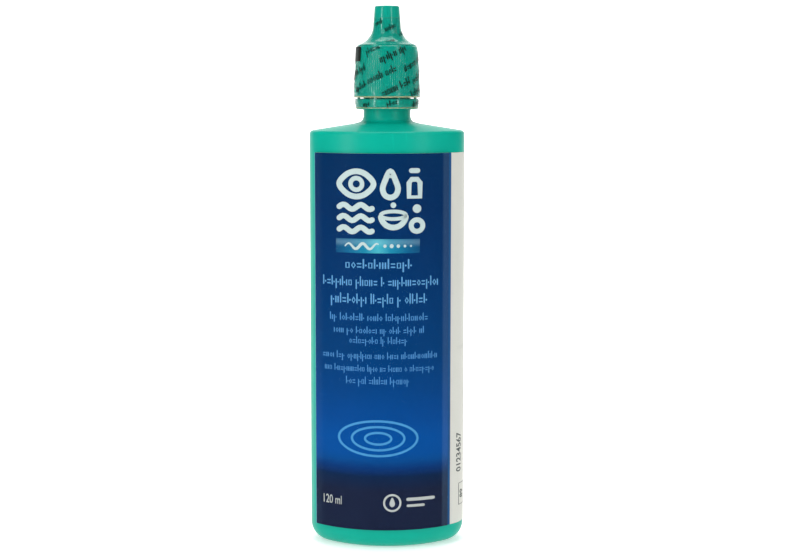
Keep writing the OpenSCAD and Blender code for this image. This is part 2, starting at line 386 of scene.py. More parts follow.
def thread_ridge(name, root, crest, height, pitch, turns):
    """A rounded thread: its section is wound up the axis, and its two ends are drawn in."""
    out = 1 if crest > root else -1
    section = [(root, -0.75 * MM), (crest - 0.15 * out * MM, -0.35 * MM), (crest, -0.12 * MM),
               (crest, 0.12 * MM), (crest - 0.15 * out * MM, 0.35 * MM), (root, 0.75 * MM)]
    ridge = drawn_line(name, [(r, 0, height + z) for r, z in section])
    bpy.ops.object.mode_set(mode="EDIT")
    bpy.ops.mesh.select_all(action="SELECT")
    bpy.ops.mesh.edge_face_add()
    bpy.ops.mesh.delete(type="ONLY_FACE")
    bpy.ops.object.mode_set(mode="OBJECT")
    apply_modifier(ridge, "SCREW", angle=2 * math.pi * turns, screw_offset=pitch * turns, axis="Z",
                   steps=int(72 * turns), render_steps=int(72 * turns), use_smooth_shade=True)
    make_active(ridge)
    bpy.ops.object.mode_set(mode="EDIT")
    bpy.ops.mesh.select_mode(type="EDGE")
    bpy.ops.mesh.select_all(action="DESELECT")
    bpy.ops.mesh.select_non_manifold()
    bpy.ops.mesh.edge_face_add()
    bpy.ops.mesh.fill_holes(sides=0)
    bpy.ops.object.mode_set(mode="OBJECT")
    close_up(ridge)
    return ridge


# Flat print shapes, in millimetres on the front, x to the right and z up

def flat_shape(name, outlines):
    """A flat shape filled inside closed outlines, facing the front."""
    start_fresh()
    bpy.ops.curve.primitive_bezier_circle_add(radius=MM)
    shape = bpy.context.object
    shape.name = name
    shape.data.dimensions = "2D"
    shape.data.fill_mode = "BOTH"
    shape.data.splines.clear()
    for outline in outlines:
        spline = shape.data.splines.new("POLY")
        spline.points.add(len(outline) - 1)
        for point, (x, z) in zip(spline.points, outline):
            point.co = (x * MM, z * MM, 0, 1)
        spline.use_cyclic_u = True
    make_active(shape)
    bpy.ops.object.convert(target="MESH")
    shape = bpy.context.object
    shape.rotation_euler = (math.pi / 2, 0, 0)
    return settle(shape)


def stroke(points, width, closed=False):
    """The outline or outlines of a pen stroke along the points, with round ends.
    The width is one number, or one for each point."""
    count = len(points)
    widths = width if isinstance(width, (list, tuple)) else [width] * count
    left, right = [], []
    for i, (x, z) in enumerate(points):
        before = points[i - 1] if i or closed else points[i]
        after = points[(i + 1) % count] if i < count - 1 or closed else points[i]
        dx, dz = after[0] - before[0], after[1] - before[1]
        size = math.hypot(dx, dz) or 1
        nx, nz = -dz / size * widths[i] / 2, dx / size * widths[i] / 2
        left.append((x + nx, z + nz))
        right.append((x - nx, z - nz))
    if closed:
        return [left, right[::-1]]
    first = math.atan2(left[0][1] - points[0][1], left[0][0] - points[0][0])
    last = math.atan2(right[-1][1] - points[-1][1], right[-1][0] - points[-1][0])
    tail = [(points[-1][0] + widths[-1] / 2 * math.cos(last + math.pi * (1 - k / 6)),
             points[-1][1] + widths[-1] / 2 * math.sin(last + math.pi * (1 - k / 6))) for k in range(1, 6)]
    head = [(points[0][0] + widths[0] / 2 * math.cos(first + math.pi * (1 - k / 6)),
             points[0][1] + widths[0] / 2 * math.sin(first + math.pi * (1 - k / 6))) for k in range(1, 6)]
    return [left + tail + right[::-1] + head]


def ring(x, z, radius, start=0, stop=360, steps=24, squash=1.0):
    """Points of a circle or a part of one."""
    turns = [math.radians(start + (stop - start) * i / steps) for i in range(steps + (stop - start < 360))]
    return [(x + radius * math.cos(t), z + squash * radius * math.sin(t)) for t in turns]


def smooth_loop(points, steps=6, closed=True):
    """More points on a smooth curve through these."""
    count = len(points)
    made = []
    for i in range(count if closed else count - 1):
        p = [points[(i + k) % count] if closed else points[min(max(i + k, 0), count - 1)]
             for k in (-1, 0, 1, 2)]
        for s in range(steps):
            t = s / steps
            made.append(tuple(
                0.5 * (2 * p[1][a] + (p[2][a] - p[0][a]) * t
                       + (2 * p[0][a] - 5 * p[1][a] + 4 * p[2][a] - p[3][a]) * t * t
                       + (3 * p[1][a] - p[0][a] - 3 * p[2][a] + p[3][a]) * t ** 3) for a in (0, 1)))
    if not closed:
        made.append(points[-1])
    return made


def cut_upright(piece, spacing, axis="x"):
    """Cuts a flat shape into upright strips, so that it can follow a curve."""
    values = [getattr(v.co, axis) for v in piece.data.vertices]
    low, high = min(values), max(values)
    normal = (1, 0, 0) if axis == "x" else (0, 1, 0)
    make_active(piece)
    bpy.ops.object.mode_set(mode="EDIT")
    for i in range(math.ceil(low / spacing), math.floor(high / spacing) + 1):
        bpy.ops.mesh.select_all(action="SELECT")
        bpy.ops.mesh.bisect(plane_co=tuple(n * i * spacing for n in normal), plane_no=normal)
    bpy.ops.object.mode_set(mode="OBJECT")


def lay_on(piece, guide, thickness, direction):
    """Lays a flat shape on the guide along a direction and gives it its thickness."""
    settings = {"target": guide, "wrap_method": "PROJECT", "use_positive_direction": False,
                "use_negative_direction": False}
    shift = {"front": (0, -0.03, 0), "right": (0.04, 0, 0), "back": (0, 0.03, 0)}[direction]
    piece.location = shift
    settle(piece)
    if direction == "right":
        settings["use_project_x"] = True
        settings["use_negative_direction"] = True
    else:
        settings["use_project_y"] = True
        settings["use_positive_direction" if direction == "front" else "use_negative_direction"] = True
    apply_modifier(piece, "SHRINKWRAP", **settings)
    apply_modifier(piece, "SOLIDIFY", thickness=thickness, offset=1)


# A small set of word-like marks that are no letters

def glyph_meshes():
    """One flat mesh for each mark, one unit of x-height tall, modelled once and copied."""
    shapes = [
        [stroke([(0.14, 0.12), (0.14, 0.88)], 0.24)],
        [stroke([(0.16, 0.14), (0.64, 0.14), (0.64, 0.86), (0.16, 0.86)], 0.2, closed=True)],
        [stroke([(0.14, 0.12), (0.14, 0.88)], 0.24), stroke([(0.56, 0.12), (0.56, 0.88)], 0.24)],
        [stroke([(0.14, 0.12), (0.14, 1.4)], 0.24)],
        [stroke([(0.14, 0.26), (0.66, 0.26)], 0.2), stroke([(0.14, 0.74), (0.66, 0.74)], 0.2)],
        [stroke([(0.14, -0.38), (0.14, 0.88)], 0.24), [ring(0.52, 0.5, 0.14, steps=8)]],
        [stroke([(0.4, 0.1), (0.68, 0.5), (0.4, 0.9), (0.12, 0.5)], 0.2, closed=True)],
        [stroke([(0.14, 0.12), (0.14, 1.35)], 0.24), [ring(0.52, 0.5, 0.15, steps=8)]],
    ]
    advances = [0.44, 0.92, 0.88, 0.44, 0.92, 0.82, 0.88, 0.8]
    made = []
    for shape, advance in zip(shapes, advances):
        pieces = [flat_shape("mark", outlines) for outlines in shape]
        made.append((joined("mark", pieces), advance))
    return made


def dice(seed):
    """A repeatable row of whole numbers."""
    state = seed * 7919 + 13
    while True:
        state = (state * 1103515245 + 12345) % 2147483648
        yield state >> 8


def mark_line(marks, words, seed):
    """Where each mark of a line of words goes: (mesh number, place along the line)."""
    rolls = dice(seed)
    places, at, last = [], 0.0, -1
    for count in words:
        for _ in range(count):
            pick = next(rolls) % len(marks)
            if pick == last:
                pick = (pick + 1) % len(marks)
            places.append((pick, at))
            at += marks[pick][1]
            last = pick
        at += 0.55
    return places, at - 0.7


def set_line(marks, words, seed, matrix, x_height, width=None):
    """Copies of the marks set as one centred line, placed by the matrix."""
    places, full = mark_line(marks, words, seed)
    stretch = width / (full * x_height) if width else 1.0
    copies = []
    for pick, at in places:
        source = marks[pick][0]
        copy = source.copy()
        copy.data = source.data.copy()
        bpy.context.collection.objects.link(copy)
        size = Matrix.Diagonal((x_height * stretch, 1, x_height, 1))
        copy.matrix_world = matrix @ size @ Matrix.Translation(((at - full / 2) * MM, 0, -0.5 * MM))
        copies.append(copy)
    return copies


def drop_marks(marks):
    """Deletes the marks that the copies came from."""
    start_fresh()
    for piece, _ in marks:
        piece.select_set(True)
    bpy.ops.object.delete()


# Materials

class Wire:
    """A socket of a material: sums on it add Math nodes, and node adds any other."""

    def __init__(self, socket):
        self.socket = socket

    def node(self, kind, inputs, output=0, stops=(), **settings):
        """Adds a node: its settings first, then the values or links of its sockets."""
        tree = self.socket.id_data
        made = tree.nodes.new(kind)
        for name, value in settings.items():
            setattr(made, name, value)
        while stops and len(made.color_ramp.elements) < len(stops):
            made.color_ramp.elements.new(0.5)
        for i, (place, value) in enumerate(stops):
            made.color_ramp.elements[i].position = place
            made.color_ramp.elements[i].color = (
                (*value, 1) if isinstance(value, tuple) else (value,) * 3 + (1,))
        for name, value in inputs.items():
            if isinstance(value, Wire):
                tree.links.new(value.socket, made.inputs[name])
            else:
                made.inputs[name].default_value = value
        return Wire(made.outputs[output])

    def sum(self, operation, *values, clamp=False):
        return self.node("ShaderNodeMath", dict(enumerate(values)), operation=operation, use_clamp=clamp)

    def __add__(self, other):
        return self.sum("ADD", self, other)

    __radd__ = __add__

    def __sub__(self, other):
        return self.sum("SUBTRACT", self, other)

    def __rsub__(self, other):
        return self.sum("SUBTRACT", other, self)

    def __mul__(self, other):
        return self.sum("MULTIPLY", self, other)

    __rmul__ = __mul__

    def __truediv__(self, other):
        return self.sum("DIVIDE", self, other)

    def size(self):
        return self.sum("ABSOLUTE", self)

    def between(self, low, high):
        """0 below low, 1 above high, and smooth between them."""
        return self.node("ShaderNodeMapRange", {"Value": self, "From Min": low, "From Max": high},
                         interpolation_type="SMOOTHSTEP")

    def noise(self, scale, detail=2.0, **more):
        return self.node("ShaderNodeTexNoise", {"Vector": self, "Scale": scale, "Detail": detail, **more})

    def stretched(self, x, y, z):
        return self.node("ShaderNodeMapping", {"Vector": self, "Scale": (x, y, z)})

    def part(self, name):
        return self.node("ShaderNodeSeparateXYZ", {0: self}, output=name)

    def mixed(self, a, b):
        """Colour a turning into colour b as this value goes from 0 to 1."""
        a, b = ((*c, 1) if isinstance(c, tuple) else c for c in (a, b))
        return self.node("ShaderNodeMix", {0: self, 6: a, 7: b}, output=2, data_type="RGBA", blend_type="MIX")

    def bump(self, strength, distance):
        return self.node("ShaderNodeBump", {"Height": self, "Strength": strength, "Distance": distance})


def new_finish(name, fixed=()):
    """A material, its shader with the fixed values set by name, and the wire of its place."""
    material = bpy.data.materials.new(name)
    material.use_nodes = True
    shader = material.node_tree.nodes["Principled BSDF"]
    for socket, value in dict(fixed).items():
        shader.inputs[socket].default_value = value
    place = Wire(material.node_tree.nodes.new("ShaderNodeTexCoord").outputs["Object"])
    return material, shader, place


def feed(shader, **wires):
    """Links wires to the shader's sockets."""
    for name, wire in wires.items():
        socket = shader.inputs[name.replace("_", " ")]
        shader.id_data.links.new(wire.socket, socket)


def tone(code, factor):
    """A colour made lighter or darker."""
    return tuple(min(1.0, c * factor) for c in code)


def plastic(name, base, rough=0.34, coat=0.0, seam=False):
    """Moulded plastic: cloudy colour, fine grain, faint upright scuffs and a moulding seam."""
    material, shader, place = new_finish(name, {"Specular IOR Level": 0.13, "Coat Roughness": 0.08,
                                                "Coat Weight": coat, "Subsurface Weight": 0.06,
                                                "Subsurface Scale": 0.002})
    base = tuple(base)
    cloud = place.noise(70.0, 3.0)
    grain = place.noise(2600.0, 2.0)
    scuffs = place.stretched(1.0, 1.0, 0.12).noise(900.0, 3.0).between(0.62, 0.78)
    tint = cloud.mixed(tone(base, 0.9), tone(base, 1.1))
    tint = (scuffs * 0.35).mixed(tint, tone(base, 1.35))
    height = grain * 0.5 + cloud * 0.3
    if seam:
        across = place.part("Y").size()
        line = 1 - across.between(0.00004, 0.00016)
        tint = (line * 0.4).mixed(tint, tone(base, 0.75))
        height = height + line * 1.2
    feed(shader, Base_Color=tint, Roughness=rough + grain * 0.1 + scuffs * 0.12 - 0.05,
         Normal=height.bump(0.12, 0.00012))
    return material


def film_finish(name, low, high):
    """Clear shrink film: nearly unseen on the face, milky in its crease lines and at its cut edges. The
    crease streaks also hold a painted reflection of the lights, and the cream at the edges a painted
    highlight.
    """
    sizes = bpy.context.scene.bottle_finishes
    material, shader, place = new_finish(name, {"Specular IOR Level": 0.35, "IOR": 1.48})
    # Upright crease streaks: real milky creases, and also a painted reflection of the lights as whitish
    # streaks.
    creases_and_glare = place.stretched(1.0, 1.0, 0.18).noise(420.0, 3.0, Distortion=0.6).between(0.6, 0.74)
    mottle = place.noise(1500.0, 2.0)
    up = place.part("Z")
    # Cut edges: cream and more opaque, partly the film's milky cut edge and partly a painted highlight along
    # the rim; the upper edge gets a weaker one.
    edge = (1 - up.between(low + 0.0001, low + 0.0005)) + up.between(high - 0.0002, high) * 0.3
    alpha = 0.03 + creases_and_glare * 0.05 + mottle * 0.02 + edge * 0.6
    tint = (creases_and_glare * 0.3).mixed(linear("#0A3A34"), tuple(sizes.film))
    tint = edge.mixed(tint, linear("#E4E3B0"))
    feed(shader, Base_Color=tint, Alpha=alpha, Roughness=0.08 + mottle * 0.12,
         Normal=(creases_and_glare + mottle * 0.3).bump(0.25, 0.0002))
    return material


def print_ink(name, base, rough=0.45, spread=0.12):
    """Printing ink: slightly uneven cover with the grain of the press."""
    material, shader, place = new_finish(name, {"Specular IOR Level": 0.08, "Coat Weight": 0.0,
                                                "Coat Roughness": 0.25})
    base = tuple(base)
    press = place.noise(5200.0, 2.0)
    patch = place.noise(180.0, 2.0)
    tint = (press * 0.6 + patch * 0.4).mixed(tone(base, 1 - spread), tone(base, 1 + spread))
    feed(shader, Base_Color=tint, Roughness=rough + press * 0.15, Normal=press.bump(0.05, 0.00003))
    return material


def cover_ink(name):
    """The cover's ground: blue that brightens downwards, then navy, with a painted sheen near the right edge
    and a painted glint at the left edge.
    """
    c = bpy.context.scene.bottle_finishes
    material, shader, place = new_finish(name, {"Specular IOR Level": 0.03, "Coat Weight": 0.0,
                                                "Coat Roughness": 0.2})
    x, z = place.part("X"), place.part("Z")
    along = (z - 0.0064) / 0.1152
    dark, bright, middle, top = (
        tuple(v) for v in (c.cover_dark, c.cover_bright, c.cover_middle, c.cover_top))
    tint = along.node("ShaderNodeValToRGB", {"Fac": along}, stops=(
        (0.0, tone(dark, 1.05)), (0.105, dark), (0.145, linear("#0F2549")), (0.168, linear("#093879")),
        (0.187, linear("#064C93")), (0.205, linear("#0351A2")), (0.25, bright), (0.3, linear("#044B98")),
        (0.38, linear("#034488")), (0.48, linear("#013E79")), (0.62, middle), (0.85, linear("#022E60")),
        (1.0, top)))
    # Painted sheen: a lighter pale-blue strip near the right edge, where light catches the leaflet's fold.
    side = x.between(0.0166, 0.0174)
    tint = (side * 0.09).mixed(tint, linear("#8FB4D8"))
    # Painted glint: a faint pale-blue line at the left edge, where light catches the laminate's edge.
    left = 1 - x.between(-0.0210, -0.0192)
    tint = (left * 0.025).mixed(tint, linear("#8FB4D8"))
    press = place.noise(4800.0, 2.0)
    patch = place.noise(120.0, 3.0)
    tint = (press * 0.03 + patch * 0.03).mixed(tint, linear("#2A5C9A"))
    feed(shader, Base_Color=tint, Roughness=0.38 + patch * 0.08,
         Normal=patch.bump(0.03, 0.00008))
    return material


def panel_ink(name):
    """Coated white label stock with a faint grain and a few handling marks."""
    c = bpy.context.scene.bottle_finishes
    material, shader, place = new_finish(name, {"Specular IOR Level": 0.4, "Coat Weight": 0.2,
                                                "Coat Roughness": 0.3})
    fibre = place.noise(2400.0, 4.0)
    patch = place.noise(90.0, 3.0)
    rub = place.stretched(0.3, 0.3, 1.0).noise(300.0, 2.0).between(0.66, 0.8)
    base = tuple(c.panel)
    tint = (fibre * 0.5 + patch * 0.5).mixed(tone(base, 0.93), tone(base, 1.05))
    tint = (rub * 0.3).mixed(tint, linear("#B9BDB8"))
    feed(shader, Base_Color=tint, Roughness=0.4 + fibre * 0.2, Normal=fibre.bump(0.08, 0.00005))
    return material


def page_ink(name, low, high):
    """Thin leaflet paper with rows of greeked print."""
    material, shader, place = new_finish(name, {"Specular IOR Level": 0.25})
    x, z = place.part("X"), place.part("Z")
    row = (z * 480.0).sum("FRACT", z * 480.0)
    words = place.stretched(1.0, 0.2, 0.42).noise(1300.0, 1.0).between(0.42, 0.5)
    rows = (row.between(0.3, 0.36)) * (1 - row.between(0.62, 0.68)) * words
    inside = x.between(-0.0185, -0.018) * (1 - x.between(0.0145, 0.015))
    inside = inside * z.between(low + 0.006, low + 0.0065) * (1 - z.between(high - 0.0065, high - 0.006))
    fibre = place.noise(2200.0, 5.0)
    paper = fibre.mixed(linear("#DAD9D0"), linear("#EEEDE6"))
    tint = (rows * inside * 0.75).mixed(paper, linear("#4A5A70"))
    feed(shader, Base_Color=tint, Roughness=0.7 + fibre * 0.2, Normal=fibre.bump(0.15, 0.00006))
    return material


def clear_finish(name, tint, alpha, rough, edge=None):
    """Thin clear laminate or liquid, with a faint haze and, at the cut edge, a painted highlight."""
    material, shader, place = new_finish(name, {"Specular IOR Level": 0.0 if edge else 0.5})
    haze = place.noise(600.0, 3.0)
    base = haze.mixed(tone(tint, 0.85), tone(tint, 1.1))
    cover = (0.7 + haze * 0.6) * alpha
    if edge is not None:
        # Painted highlight: pale blue and more opaque along the cut edge, where light would catch it.
        cut = 1 - (place.part("X") - edge).size().between(0.00008, 0.0002)
        base = cut.mixed(base, linear("#7FB8D8"))
        cover = cover + cut * 0.6
    feed(shader, Base_Color=base, Alpha=cover, Roughness=rough + haze * 0.1)
    return material


def badge_finish(name):
    """The printed badge: deep teal at its ends and bright in the middle."""
    material, shader, place = new_finish(name, {"Specular IOR Level": 0.08, "Coat Weight": 0.0,
                                                "Coat Roughness": 0.25})
    x, z = place.part("X") / MM, place.part("Z") / MM
    off = ((x + 2.75) / 12.65).size()
    tint = off.node("ShaderNodeValToRGB", {"Fac": off}, stops=(
        (0.0, linear("#4FC3D3")), (0.3, linear("#1F93B5")),
        (0.7, linear("#0B6A96")), (1.0, linear("#07507F"))))
    shine = 1 - ((z - 95.0) / 1.6).size().between(0.0, 1.0)
    tint = (shine * 0.18).mixed(tint, linear("#BDEBF0"))
    press = place.noise(4800.0, 2.0)
    feed(shader, Base_Color=(press * 0.12).mixed(tint, linear("#2A6CA0")), Roughness=0.4 + press * 0.12,
         Normal=press.bump(0.05, 0.00003))
    return material


# The pieces

class BOTTLE_OT_shell(bpy.types.Operator):
    """Model the blown bottle: oval body, sloping shoulder, threaded neck and both faces of its wall"""
    bl_idname = "bottle.shell"
    bl_label = "Bottle shell"

    def execute(self, context):
        s = context.scene.bottle_sizes
        oval = Oval(s)
        heel, top = s.heel, s.shoulder
        corner = 1.2 * MM
        outer = [(-heel - 2.5 * MM, 0.25 * MM), (-heel - 1.3 * MM, 0.05 * MM)]
        outer += [(-heel - r, z) for r, z in arc_points(0, heel, heel, 270, 180, 12)]
        outer += [(0, 0.03), (0, 0.06), (0, 0.09)]
        outer += [(-corner + r, z) for r, z in arc_points(0, top - corner, corner, 0, 82, 6)]
        shell = oval.sweep("bottle_shell", outer, -180, 180)
        w = s.wall
        inner = [(-heel - 2.5 * MM, 0.25 * MM + w)]
        inner += [(-heel - r, z) for r, z in arc_points(0, heel, heel - w, 270, 180, 8)]
        inner += [(-corner + r, z) for r, z in arc_points(0, top - corner, corner - w, 0, 82, 3)]
        lining = oval.sweep("bottle_lining", inner, -180, 180)
        root = top + s.rise
        n = s.neck
        neck = [(n + 3.2 * MM, root - 0.45 * MM), (n + 1.9 * MM, root - 0.12 * MM), (n + 1.1 * MM,
            root + 0.12 * MM),
                (n + 0.6 * MM, root + 0.42 * MM), (n + 0.3 * MM, root + 0.85 * MM), (n + 0.1 * MM,
                root + 1.3 * MM),
                (n, root + 1.8 * MM), (n, s.bead - 0.1 * MM), (n + 0.85 * MM, s.bead),
                (n + 1.1 * MM, s.bead + 0.2 * MM), (n + 1.1 * MM, s.bead + 0.5 * MM),
                (n + 0.9 * MM, s.bead + 0.75 * MM),
                (n, s.bead + 1.25 * MM), (n, s.rim - 0.3 * MM), (n - 0.08 * MM, s.rim - 0.08 * MM),
                (n - 0.3 * MM, s.rim), (s.bore + 0.25 * MM, s.rim), (s.bore, s.rim - 0.25 * MM),
                (s.bore, root + 0.5 * MM), (s.bore + 1.4 * MM, root - 0.9 * MM)]
        collar = oval.sweep("bottle_neck", neck, -180, 180, about_axis=True)
        close_foot(shell, 0.5 * MM, 7, s.push_up - 0.25 * MM)
        close_foot(lining, 1.2 * MM, 7, s.push_up - 0.25 * MM)
        whole = joined("bottle_shell", [shell, collar])
        bridge_rings(whole, top - 0.3 * MM, root - 0.2 * MM, n + 2 * MM)
        whole = joined("bottle_shell", [whole, lining])
        bridge_rings(whole, top - 1.6 * MM, root - 0.2 * MM)
        close_up(whole)
        ridge = thread_ridge("thread", n - 0.1 * MM, n + 1.05 * MM, s.thread, s.pitch, s.turns)
        whole = joined("bottle_shell", [whole, ridge])
        soften(whole, 50)
        material = plastic("teal bottle plastic", context.scene.bottle_finishes.bottle, seam=True)
        finish_piece(whole, "bottle", "bottle_plastic", material, "bottle_body")
        return {"FINISHED"}


def cap_outline(s, out, ceiling=None):
    """The cap's outer line from rim to tip, moved out by a distance."""
    line = [(s.rim - 0.3 * MM + out, s.low), (s.rim - 0.1 * MM + out, s.low + 0.12 * MM),
            (s.rim + out, s.low + 0.55 * MM)]
    line += [(s.rim + (s.top - s.rim) * t + out, s.low + 0.55 * MM + (s.barrel - 0.6 * MM) * t)
             for t in (0.06, 0.35, 0.65, 0.94)]
    corner = 0.7 * MM
    line += arc_points(s.top - corner, s.low + s.barrel, corner + out, 3, 72, 8)
    line += arc_points(s.tip + 0.35 * MM + s.flare, s.low + s.barrel + s.flare + 0.85 * MM,
                       s.flare - out, 256, 180, 20)
    line += [(s.tip + 0.12 * MM + out, s.high - 2.4 * MM), (s.tip + out, s.high - 0.5 * MM)]
    if ceiling:
        line = [p for p in line if p[1] < ceiling - 0.0002]
        line.append((s.tip + 0.14 * MM + out, ceiling))
    return line


class BOTTLE_OT_cap(bpy.types.Operator):
    """Model the screw cap: ribbed barrel, hollow flare, slim tip, inner thread and sealing pin"""
    bl_idname = "bottle.cap"
    bl_label = "Screw cap"

    def execute(self, context):
        b, s = context.scene.bottle_sizes, context.scene.cap_sizes
        bore = b.neck + 1.55 * MM
        roof = b.rim + 1.5 * MM
        ceiling = s.high - 1.0 * MM
        line = [(0.4 * MM, ceiling - 3.1 * MM), (0, ceiling - 3.1 * MM)][::-1]
        line += [(0.4 * MM, ceiling), (2.9 * MM, ceiling), (3.1 * MM, roof + 3.0 * MM), (4.8 * MM, roof),
                 (bore - 0.2 * MM, roof), (bore, s.low + 1.5 * MM), (bore + 0.1 * MM, s.low + 1.0 * MM),
                 (bore + 0.2 * MM, s.low)]
        line += cap_outline(s, 0)
        line += [(s.tip - 0.12 * MM, s.high - 0.15 * MM), (s.tip - 0.4 * MM, s.high),
                 (s.tip - 1.2 * MM, s.high), (s.tip - 1.5 * MM, s.high - 0.12 * MM), (0, s.high - 0.12 * MM)]
        cap = turned("cap_shell", line, s.ribs * 2)
        low, high = s.low + 1.1 * MM, s.low + s.barrel - 0.9 * MM
        turn = math.pi / s.ribs

        def on_rib(c):
            column = math.floor((math.atan2(c.y, c.x) % (2 * math.pi)) / turn)
            return column % 2 == 0 and low < c.z < high and math.hypot(c.x, c.y) > s.top - 0.3 * MM

        select_where(cap, "FACE", on_rib)
        bpy.ops.mesh.inset(thickness=0.08 * MM, depth=0.045 * MM)
        bpy.ops.object.mode_set(mode="OBJECT")
        ridge = thread_ridge("cap_thread", bore + 0.15 * MM, b.neck + 0.35 * MM,
                             b.thread - b.pitch / 2, b.pitch, b.turns)
        cap = joined("cap_shell", [cap, ridge])
        soften(cap, 34)
        material = plastic("teal cap plastic", context.scene.bottle_finishes.cap, rough=0.26, coat=0.4)
        finish_piece(cap, "cap", "cap_plastic", material, "screw_cap")
        return {"FINISHED"}


class BOTTLE_OT_band(bpy.types.Operator):
    """Model the tamper band under the cap, with its inner catch, and finish the bridges"""
    bl_idname = "bottle.band"
    bl_label = "Tamper band"

    def execute(self, context):
        b, s = context.scene.bottle_sizes, context.scene.cap_sizes
        low, high = BAND_LOW.z, BAND_HIGH.z
        out = s.rim - 0.4 * MM
        inner = b.neck + 0.35 * MM
        line = [(b.neck + 1.65 * MM, high), (b.neck + 1.4 * MM, b.bead + 0.9 * MM),
            (b.neck + 1.4 * MM, b.bead - 0.5 * MM),
                (inner - 0.05 * MM, b.bead - 0.6 * MM), (inner + 0.15 * MM, low + 0.1 * MM),
                (inner + 0.3 * MM, low),
                (out - 0.5 * MM, low), (out - 0.28 * MM, low + 0.1 * MM), (out - 0.15 * MM, low + 0.35 * MM),
                (out - 0.08 * MM, low + 1.0 * MM), (out - 0.02 * MM, high - 0.35 * MM),
                (out - 0.06 * MM, high - 0.12 * MM),
                (out - 0.2 * MM, high), (b.neck + 1.65 * MM, high)]
        band = turned("band_ring", line, 128)
        soften(band, 40)
        material = plastic("teal band plastic", context.scene.bottle_finishes.cap, rough=0.3, coat=0.4)
        finish_piece(band, "tamper_ring", "band_plastic", material, "tamper_band")
        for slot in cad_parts["band_bridges"].material_slots:
            slot.material = material
        return {"FINISHED"}


def shaped_film(name, line, low, steps, ripple):
    """A film turned from its line and rippled as shrunk film is."""
    film = turned(name, line, steps)
    waves = [(3, 0.9, 0.4), (7, 0.5, 2.1), (13, 0.3, 0.9), (23, 0.25, 4.0)]

    def swell(turn, height):
        value = sum(size * math.sin(count * turn + phase + height * 260) for count, size, phase in waves)
        return ripple * value / 1.95

    for vertex in film.data.vertices:
        turn = math.atan2(vertex.co.y, vertex.co.x)
        radius = math.hypot(vertex.co.x, vertex.co.y)
        grown = 1 + swell(turn, vertex.co.z) / radius
        vertex.co.x *= grown
        vertex.co.y *= grown
        if vertex.co.z < low + 0.05 * MM:
            vertex.co.z += 0.06 * MM * (1 + math.sin(31 * turn) * 0.6 + math.sin(53 * turn + 1) * 0.4)
    return film


class BOTTLE_OT_film(bpy.types.Operator):
    """Model the clear shrink film on the cap and its lower length round the tamper band"""
    bl_idname = "bottle.film"
    bl_label = "Shrink film"

    def execute(self, context):
        s = context.scene.cap_sizes
        gap = s.film_gap + 0.02 * MM
        fine = []
        rough_line = cap_outline(s, gap, s.film_high)
        for (r0, z0), (r1, z1) in zip(rough_line, rough_line[1:]):
            parts = max(1, int(abs(z1 - z0) / (0.9 * MM)))
            fine += [(r0 + (r1 - r0) * i / parts, z0 + (z1 - z0) * i / parts) for i in range(parts)]
        fine.append(rough_line[-1])
        film = shaped_film("cap_film", fine, s.low, 144, 0.04 * MM)
        apply_modifier(film, "SOLIDIFY", thickness=0.04 * MM, offset=1)
        soften(film, 60)
        finish_piece(film, "cap", "sleeve_film",
                     film_finish("clear cap film", s.low, s.film_high), "cap_sleeve")
        out = BAND_FILM_HIGH.x - 0.1 * MM
        low, high = BAND_FILM_LOW.z, BAND_FILM_HIGH.z
        line = [(out - 0.3 * MM, low), (out - 0.12 * MM, low + 0.2 * MM), (out - 0.02 * MM, low + 0.45 * MM),
                (out, low + 1.2 * MM), (out, low + 2.0 * MM), (out, high - 0.2 * MM),
                (out + 0.05 * MM, high + 0.16 * MM)]
        lower = shaped_film("band_film", line, low, 144, 0.03 * MM)
        apply_modifier(lower, "SOLIDIFY", thickness=0.04 * MM, offset=1)
        soften(lower, 60)
        finish_piece(lower, "tamper_ring", "sleeve_film", film_finish("clear band film", low,
            high + 0.16 * MM),
                     "band_sleeve")
        return {"FINISHED"}


# Words on the cap's film: turn from the front to the right, height, x-height, words, width in mm
CAP_WORDS = [
    (-27, 152.6, 1.5, (6,), 5.4), (12, 151.2, 1.65, (6, 4), 10.2), (56, 148.4, 1.6, (6, 4), 10.0),
    (-10, 144.8, 1.7, (6, 4), 11.0), (17, 141.1, 1.7, (6, 4), 10.8), (74, 144.6, 1.6, (6, 4), 9.8),
    (60, 139.9, 1.5, (6,), 5.6), (-66, 145.4, 1.6, (6, 4), 9.6), (-52, 141.2, 1.5, (6,), 5.4),
    (9, 155.9, 1.2, (4,), 3.0), (62, 157.2, 1.1, (5,), 3.2), (-38, 160.6, 1.1, (5,), 2.8), (14,
    159.2, 1.2, (6,), 4.0),
]


